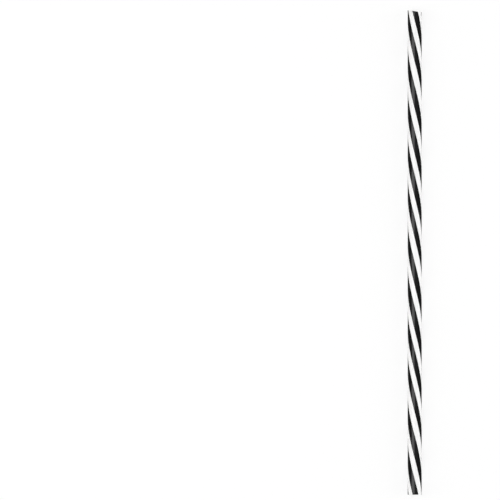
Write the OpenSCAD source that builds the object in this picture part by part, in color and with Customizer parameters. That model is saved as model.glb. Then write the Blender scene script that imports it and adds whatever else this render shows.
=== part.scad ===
/* [Tube] */
// Length of the straw along its middle line
straw_length = 228.6; // [120:0.2:320]
// Outside diameter
outer_d = 6.7; // [5:0.1:12]
// Thickness of the wall
wall = 0.8; // [0.4:0.05:1.6]

/* [Ends] */
// Slant of the knife cut at the top end, in degrees off square
top_slant = 8; // [0:1:20]

/* [Stripes] */
// Length of tube in which a black stripe winds once round
stripe_pitch = 82.5; // [60:0.5:160]
// Where each black stripe starts, as degrees round the square end
stripe_starts = [-107, -15, 82, 166]; // [-180:1:180]
// Width of each black stripe, in degrees round the tube
stripe_widths = [44, 43.5, 38.5, 41]; // [20:0.5:60]

/* [Hidden] */
// How far a cutting solid runs past what it cuts
cut_over = 1;
outer_r = outer_d / 2;
bore_r = outer_r - wall;
// The slanted cut leaves one side of the top end longer than the middle line
tip_rise = outer_r * tan(top_slant);
overall_length = straw_length + tip_rise;
// Side of the block that takes off what lies above the slanted cut
cut_block = 4 * outer_d;
// How far the stripes' cutting solid reaches past the wall, inside and outside
stripe_over = wall / 8;
// Turn of a stripe from one slice of its cutting solid to the next, in degrees
slice_turn = 30;
// How far round the tube a black stripe is fused into the white on each side, in degrees
fused = 0.2;
// The stripes' cutting solid starts this far below the square end, and ends as far or farther above
stripe_lead = 2 * cut_over;
slices = ceil(360 * (overall_length + 2 * stripe_lead) / stripe_pitch / slice_turn);
stripe_turn = slices * slice_turn;
stripe_height = stripe_turn / 360 * stripe_pitch;
$fn = 96;

// The extruded tube, standing on its square end, before the top end is cut
module blank_tube() {
  difference() {
    cylinder(r = outer_r, h = overall_length + cut_over);
    translate([0, 0, -cut_over])
      cylinder(r = bore_r, h = overall_length + 3 * cut_over);
  }
}

// Everything above the slanted cut, which runs through the end of the middle line
module above_cut() {
  translate([0, 0, straw_length])
    rotate([0, top_slant, 0])
      translate([-cut_block / 2, -cut_block / 2, 0])
        cube(cut_block);
}

module cut_tube() {
  difference() {
    blank_tube();
    above_cut();
  }
}

// One stripe's share of the wall, seen along the tube. Its outer corners are far enough out
// for the straight edges between them, and between two slices, to clear the tube.
module stripe_sector(width) {
  near = bore_r - stripe_over;
  far = (outer_r + stripe_over) / cos(width / 2) / cos(slice_turn / 2);
  polygon([
    [near, 0],
    [far, 0],
    [far * cos(width), far * sin(width)],
    [near * cos(width), near * sin(width)]
  ]);
}

// The space that the black stripes take up, winding left-handed along the tube. The reach is
// what each of them takes more on both sides, in degrees.
module stripe_space(reach = 0) {
  translate([0, 0, -stripe_lead])
    rotate(360 * stripe_lead / stripe_pitch)
      linear_extrude(stripe_height, twist = stripe_turn, slices = slices, segments = 1)
        for (i = [0 : len(stripe_starts) - 1])
          rotate(stripe_starts[i] - reach)
            stripe_sector(stripe_widths[i] + 2 * reach);
}

// One extruded tube with its two colours through the whole wall. It lies along +Y with its
// slanted end at +Y, touching the surface at z = 0.
module straw() {
  translate([0, -overall_length / 2, outer_r])
    rotate([-90, 0, 0]) {
      color("white")
        difference() {
          cut_tube();
          stripe_space();
        }
      color("black")
        intersection() {
          cut_tube();
          stripe_space(fused);
        }
    }
}

straw();
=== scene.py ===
"""A hard-plastic drinking straw with black and white spiral stripes, lying on a white floor.

The straw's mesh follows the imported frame: it lies along +Y, its slanted end is at +Y, and it touches
the floor at z = 0. Lengths are in metres and angles in degrees unless a name says otherwise.
"""

import math

import bpy
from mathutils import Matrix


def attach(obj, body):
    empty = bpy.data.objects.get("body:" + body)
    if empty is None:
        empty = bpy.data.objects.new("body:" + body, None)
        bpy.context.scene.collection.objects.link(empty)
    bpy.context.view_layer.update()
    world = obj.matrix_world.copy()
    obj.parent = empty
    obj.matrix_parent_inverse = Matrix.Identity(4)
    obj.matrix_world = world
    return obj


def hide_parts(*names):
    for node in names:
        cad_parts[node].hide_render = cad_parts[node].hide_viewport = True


MM = 0.001
TURN = 360

# Side of the photograph, and the middle of the straw in it, in pixels
IMAGE_SIDE = 500
STRAW_CENTRE_X = 414.7
STRAW_CENTRE_Y = 252.45
# Scale of the photograph at the straw, and height of the camera above the floor
METRES_PER_PIXEL = 0.4728 * MM
CAMERA_HEIGHT = 0.8

# The tube, as the part's source has it
OUTER_R = 3.35 * MM
WALL = 0.8 * MM
BORE_R = OUTER_R - WALL
MIDDLE_LENGTH = 228.6 * MM
SLANT = math.tan(math.radians(8))
OVERALL_LENGTH = MIDDLE_LENGTH + OUTER_R * SLANT
SQUARE_END_Y = -OVERALL_LENGTH / 2
SQUARE_END_ROW = STRAW_CENTRE_Y * METRES_PER_PIXEL + OVERALL_LENGTH / 2

# The mesh rows lean over to the slant of the cut between these lengths
SLANT_ROWS_START = MIDDLE_LENGTH - 9 * MM
SLANT_ROWS_FULL = MIDDLE_LENGTH - 1 * MM
# Rounds of settling a point that the slant moves along, and so round with its stripe
SLANT_ROUNDS = 4

# The cut edges are this little rounded
EDGE_ROUND = 0.07 * MM
ROUND_STEPS = 3

# Spacing of the mesh rows along the tube, and columns between two edges of stripes
OUTER_ROW_STEP = 1.1 * MM
BORE_ROW_STEP = 2.2 * MM
COLUMNS_PER_STRIPE = 9

# Where each edge of a stripe lies round the tube, as a phase at the photograph's top line.
# They go round in turn: the start of a black stripe, then its end.
STRIPE_EDGES = [1.4, 42.3, 88.1, 126.6, 179.7, 223.4, 271.2, 315.4]
STRIPE_PITCH = 82.64 * MM
# A render's pixels mix light evenly, which thins dark stripes: this goes on both sides of each
BLACK_SPREAD = 2.7

# Slow wander of the winding: its size, its wavelength and how far below the top line it peaks
WANDER = 2.4
WANDER_LENGTH = 236.4 * MM
WANDER_PEAK = 139.8 * MM

# The edges of the stripes waver a little: size and wavelength of each waver, and what it is
# shifted by from one edge to the next
WAVERS = [(0.35, 31 * MM), (0.22, 12.7 * MM), (0.12, 5.3 * MM)]
WAVER_SHIFT_RADIANS = 2.4

# Refraction of the plastic, which sets its gloss, and its roughness from polished to rubbed
PLASTIC_IOR = 1.47
POLISHED = 0.08
RUBBED = 0.18
# Sizes across the tube of the clouding in the plastic's colour and of its rubbed patches
CLOUD_SIZE = 7 * MM
RUB_SIZE = 1.1 * MM
# Relief of the plastic: fine lines that the extruder leaves along the tube, and slow ripples
LINE_SPACING = 0.38 * MM
LINE_DEPTH = 0.017 * MM
RIPPLE_SIZE = 4.2 * MM
RIPPLE_DEPTH = 0.12 * MM
# A noise lies mostly between these
NOISE_LOW = 0.3
NOISE_HIGH = 0.7

# Heights of a ray's direction at which the white background starts to show in the straw's gloss,
# and at which it is full. Straight down is -1.
BACKGROUND_STARTS = -0.8
BACKGROUND_FULL = -1


def smooth_step(value, low, high):
    """0 below low, 1 above high and a smooth rise between them."""
    share = min(max((value - low) / (high - low), 0), 1)
    return share * share * (3 - 2 * share)


def photo_row(along):
    """How far below the photograph's top line a length from the square end lies, in metres."""
    return SQUARE_END_ROW - along


def wander(along):
    """How far the stripes lag behind an even winding."""
    return WANDER * math.cos(2 * math.pi * (photo_row(along) - WANDER_PEAK) / WANDER_LENGTH)


def edge_phase(edge, along):
    """Phase of an edge of the stripes, at this length from the square end.

    The edge after the last one is the first, a turn further round.
    """
    turns, edge = divmod(edge, len(STRIPE_EDGES))
    spread = -BLACK_SPREAD if edge % 2 == 0 else BLACK_SPREAD
    waver = 0
    for number, (size, length) in enumerate(WAVERS, start=1):
        shift = WAVER_SHIFT_RADIANS * (edge + 1) * number
        waver += size * math.sin(2 * math.pi * along / length + shift)
    return STRIPE_EDGES[edge] + turns * TURN + spread + waver


def column_angle(column, along):
    """Angle of a mesh column round the tube, from straight up towards +X."""
    edge, step = divmod(column, COLUMNS_PER_STRIPE)
    share = step / COLUMNS_PER_STRIPE
    phase = edge_phase(edge, along) * (1 - share) + edge_phase(edge + 1, along) * share
    return TURN * photo_row(along) / STRIPE_PITCH - phase - wander(along)


def rounded_edge(side_r, end_along, outward, towards_end, from_side):
    """Rings of one rounded cut edge, from the wall's side to the end face or back.

    outward is 1 on the outer wall and -1 in the bore. towards_end is 1 at the slanted end of the
    straw and -1 at its square end.
    """
    rings = []
    for step in range(ROUND_STEPS + 1):
        part = math.pi / 2 * step / ROUND_STEPS
        if not from_side:
            part = math.pi / 2 - part
        radius = side_r + outward * EDGE_ROUND * (math.cos(part) - 1)
        along = end_along + towards_end * EDGE_ROUND * (math.sin(part) - 1)
        rings.append((radius, along))
    return rings


def wall_rows(radius, start, end, spacing):
    """Rings along a wall between its two rounded edges."""
    count = max(round(abs(end - start) / spacing), 2)
    return [(radius, start + (end - start) * step / count) for step in range(1, count)]


def section_rings():
    """(radius, length from the square end) of every ring, once round the section of the wall."""
    low = EDGE_ROUND
    high = MIDDLE_LENGTH - EDGE_ROUND
    rings = rounded_edge(OUTER_R, 0, outward=1, towards_end=-1, from_side=False)
    rings += wall_rows(OUTER_R, low, high, OUTER_ROW_STEP)
    rings += rounded_edge(OUTER_R, MIDDLE_LENGTH, outward=1, towards_end=1, from_side=True)
    rings += rounded_edge(BORE_R, MIDDLE_LENGTH, outward=-1, towards_end=1, from_side=False)
    rings += wall_rows(BORE_R, high, low, BORE_ROW_STEP)
    rings += rounded_edge(BORE_R, 0, outward=-1, towards_end=-1, from_side=True)
    return rings


def ring_point(radius, along, column):
    """Where a column crosses a ring."""
    slanted = smooth_step(along, SLANT_ROWS_START, SLANT_ROWS_FULL)
    moved = along
    for _ in range(SLANT_ROUNDS):
        angle = math.radians(column_angle(column, moved))
        across = radius * math.sin(angle)
        moved = along - slanted * across * SLANT
    return across, SQUARE_END_Y + moved, OUTER_R + radius * math.cos(angle)


def add_object(name, data):
    """A new object in the scene."""
    made = bpy.data.objects.new(name, data)
    bpy.context.scene.collection.objects.link(made)
    return made


def build_straw(white, black):
    """The straw as one closed mesh whose face edges follow the edges of the stripes."""
    rings = section_rings()
    columns = len(STRIPE_EDGES) * COLUMNS_PER_STRIPE
    points = [ring_point(radius, along, column) for radius, along in rings for column in range(columns)]
    faces = []
    slots = []
    for row in range(len(rings)):
        here = row * columns
        after = (row + 1) % len(rings) * columns
        for column in range(columns):
            beside = (column + 1) % columns
            faces.append((here + column, after + column, after + beside, here + beside))
            slots.append(1 - column // COLUMNS_PER_STRIPE % 2)
    mesh = bpy.data.meshes.new("striped_straw")
    mesh.from_pydata(points, [], faces)
    mesh.materials.append(white)
    mesh.materials.append(black)
    mesh.polygons.foreach_set("material_index", slots)
    mesh.polygons.foreach_set("use_smooth", [True] * len(faces))
    mesh.update()
    return add_object("striped_straw", mesh)


def maths(tree, operation, *values):
    """The result of a Math node on sockets or numbers."""
    node = tree.nodes.new("ShaderNodeMath")
    node.operation = operation
    for socket, value in zip(node.inputs, values):
        if isinstance(value, bpy.types.NodeSocket):
            tree.links.new(value, socket)
        else:
            socket.default_value = value
    return node.outputs["Value"]


def map_range(tree, value, start, end, low, high):
    """Brings a value that goes from start to end to between low and high, and no further."""
    node = tree.nodes.new("ShaderNodeMapRange")
    node.inputs["From Min"].default_value = start
    node.inputs["From Max"].default_value = end
    node.inputs["To Min"].default_value = low
    node.inputs["To Max"].default_value = high
    tree.links.new(value, node.inputs["Value"])
    return node.outputs["Result"]


def noise(tree, coordinates, size, detail, stretch, low, high):
    """A noise from low to high, with features of this size drawn out along the tube by stretch."""
    mapping = tree.nodes.new("ShaderNodeMapping")
    mapping.inputs["Scale"].default_value = (1, 1 / stretch, 1)
    texture = tree.nodes.new("ShaderNodeTexNoise")
    texture.inputs["Scale"].default_value = 1 / size
    texture.inputs["Detail"].default_value = detail
    tree.links.new(coordinates, mapping.inputs["Vector"])
    tree.links.new(mapping.outputs["Vector"], texture.inputs["Vector"])
    return map_range(tree, texture.outputs["Fac"], NOISE_LOW, NOISE_HIGH, low, high)


def plastic(name, colour, cloudy_colour):
    """Glossy hard plastic: slightly cloudy, with faint lines along it from the extruder."""
    material = bpy.data.materials.new(name)
    material.use_nodes = True
    tree = material.node_tree
    shader = tree.nodes["Principled BSDF"]
    shader.inputs["IOR"].default_value = PLASTIC_IOR
    place = tree.nodes.new("ShaderNodeTexCoord").outputs["Object"]

    clouds = noise(tree, place, CLOUD_SIZE, detail=3, stretch=6, low=0, high=1)
    mix = tree.nodes.new("ShaderNodeMix")
    mix.data_type = "RGBA"
    mix.inputs["A"].default_value = (*colour, 1)
    mix.inputs["B"].default_value = (*cloudy_colour, 1)
    tree.links.new(clouds, mix.inputs["Factor"])
    tree.links.new(mix.outputs["Result"], shader.inputs["Base Color"])

    roughness = noise(tree, place, RUB_SIZE, detail=4, stretch=3, low=POLISHED, high=RUBBED)
    tree.links.new(roughness, shader.inputs["Roughness"])

    lines = noise(tree, place, LINE_SPACING, detail=2, stretch=60, low=0, high=LINE_DEPTH)
    ripples = noise(tree, place, RIPPLE_SIZE, detail=1, stretch=3, low=0, high=RIPPLE_DEPTH)
    bump = tree.nodes.new("ShaderNodeBump")
    bump.inputs["Distance"].default_value = 1
    tree.links.new(maths(tree, "ADD", lines, ripples), bump.inputs["Height"])
    tree.links.new(bump.outputs["Normal"], shader.inputs["Normal"])
    return material


def area_lamp(name, across, up, size, brightness, in_reflections):
    """A soft box over the middle of the straw, facing it. A hidden one lights without being mirrored."""
    width, length = size
    lamp = bpy.data.lights.new(name, "AREA")
    lamp.shape = "RECTANGLE"
    lamp.size = width
    lamp.size_y = length
    # At this power the lamp's face has its brightness, where 1 is white
    lamp.energy = math.pi * width * length * brightness
    box = add_object(name, lamp)
    box.location = (across, 0, up)
    box.rotation_euler = (0, math.atan2(across, up), 0)
    box.visible_glossy = in_reflections


def studio_world(brightness):
    """An even dim surround, white to the camera and, straight below, in the straw's gloss."""
    world = bpy.data.worlds.new("studio")
    bpy.context.scene.world = world
    world.use_nodes = True
    tree = world.node_tree
    background = tree.nodes["Background"]
    background.inputs["Color"].default_value = (1, 1, 1, 1)
    ray = tree.nodes.new("ShaderNodeTexCoord").outputs["Generated"]
    direction = tree.nodes.new("ShaderNodeSeparateXYZ")
    tree.links.new(ray, direction.inputs["Vector"])
    below = map_range(tree, direction.outputs["Z"], BACKGROUND_STARTS, BACKGROUND_FULL, 0, 1)
    paths = tree.nodes.new("ShaderNodeLightPath").outputs
    bounced = maths(tree, "MAXIMUM", paths["Is Glossy Ray"], paths["Is Transmission Ray"])
    mirrored = maths(tree, "MULTIPLY", bounced, below)
    seen = maths(tree, "MAXIMUM", paths["Is Camera Ray"], mirrored)
    level = map_range(tree, seen, 0, 1, brightness, 1)
    tree.links.new(level, background.inputs["Strength"])


def white_floor(half_side, plain_share):
    """A white floor. This share of it is plain white to the camera, and the rest takes the shadow."""
    mesh = bpy.data.meshes.new("floor")
    corners = [(x * half_side, y * half_side, 0) for x, y in ((-1, -1), (1, -1), (1, 1), (-1, 1))]
    mesh.from_pydata(corners, [], [(0, 1, 2, 3)])
    material = bpy.data.materials.new("floor_white")
    material.use_nodes = True
    tree = material.node_tree
    tree.nodes.clear()
    diffuse = tree.nodes.new("ShaderNodeBsdfDiffuse")
    diffuse.inputs["Color"].default_value = (1, 1, 1, 1)
    plain = tree.nodes.new("ShaderNodeEmission")
    paths = tree.nodes.new("ShaderNodeLightPath").outputs
    mix = tree.nodes.new("ShaderNodeMixShader")
    output = tree.nodes.new("ShaderNodeOutputMaterial")
    tree.links.new(maths(tree, "MULTIPLY", paths["Is Camera Ray"], plain_share), mix.inputs["Fac"])
    tree.links.new(diffuse.outputs["BSDF"], mix.inputs[1])
    tree.links.new(plain.outputs["Emission"], mix.inputs[2])
    tree.links.new(mix.outputs["Shader"], output.inputs["Surface"])
    mesh.materials.append(material)
    floor = add_object("floor", mesh)
    floor.visible_glossy = False
    return floor


def add_camera():
    """Looks straight down, with the straw where the photograph has it."""
    camera_data = bpy.data.cameras.new("camera")
    camera_data.type = "ORTHO"
    camera_data.ortho_scale = IMAGE_SIDE * METRES_PER_PIXEL
    camera = add_object("camera", camera_data)
    across = (IMAGE_SIDE / 2 - STRAW_CENTRE_X) * METRES_PER_PIXEL
    along = (STRAW_CENTRE_Y - IMAGE_SIDE / 2) * METRES_PER_PIXEL
    camera.location = (across, along, CAMERA_HEIGHT)
    bpy.context.scene.camera = camera


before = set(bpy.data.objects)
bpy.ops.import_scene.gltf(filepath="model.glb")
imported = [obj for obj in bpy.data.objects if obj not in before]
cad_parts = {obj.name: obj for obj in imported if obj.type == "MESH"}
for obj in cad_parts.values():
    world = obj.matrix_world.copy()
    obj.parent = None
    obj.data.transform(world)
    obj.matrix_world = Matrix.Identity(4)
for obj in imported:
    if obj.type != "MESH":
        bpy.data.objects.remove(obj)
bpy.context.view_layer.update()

bpy.context.scene.view_settings.view_transform = "Standard"
add_camera()

white = plastic("white_plastic", colour=(0.93, 0.93, 0.925), cloudy_colour=(0.915, 0.915, 0.91))
black = plastic("black_plastic", colour=(0.0035, 0.0035, 0.0035), cloudy_colour=(0.0055, 0.0055, 0.006))
straw = build_straw(white, black)
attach(straw, "root")
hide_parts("straw")

studio_world(brightness=0.1)
area_lamp("key", across=-0.42, up=0.9, size=(0.88, 0.5), brightness=2.25, in_reflections=True)
area_lamp("dim_right", across=0.35, up=0.9, size=(0.8, 0.8), brightness=0.15, in_reflections=True)
area_lamp("fill_above", across=0, up=1.2, size=(1.4, 1.4), brightness=0.8, in_reflections=False)
area_lamp("fill_left", across=-0.906, up=0.423, size=(0.7, 1.0), brightness=2.2, in_reflections=False)
area_lamp("fill_right", across=0.906, up=0.423, size=(0.7, 1.0), brightness=3.3, in_reflections=False)
white_floor(half_side=6, plain_share=0.85)
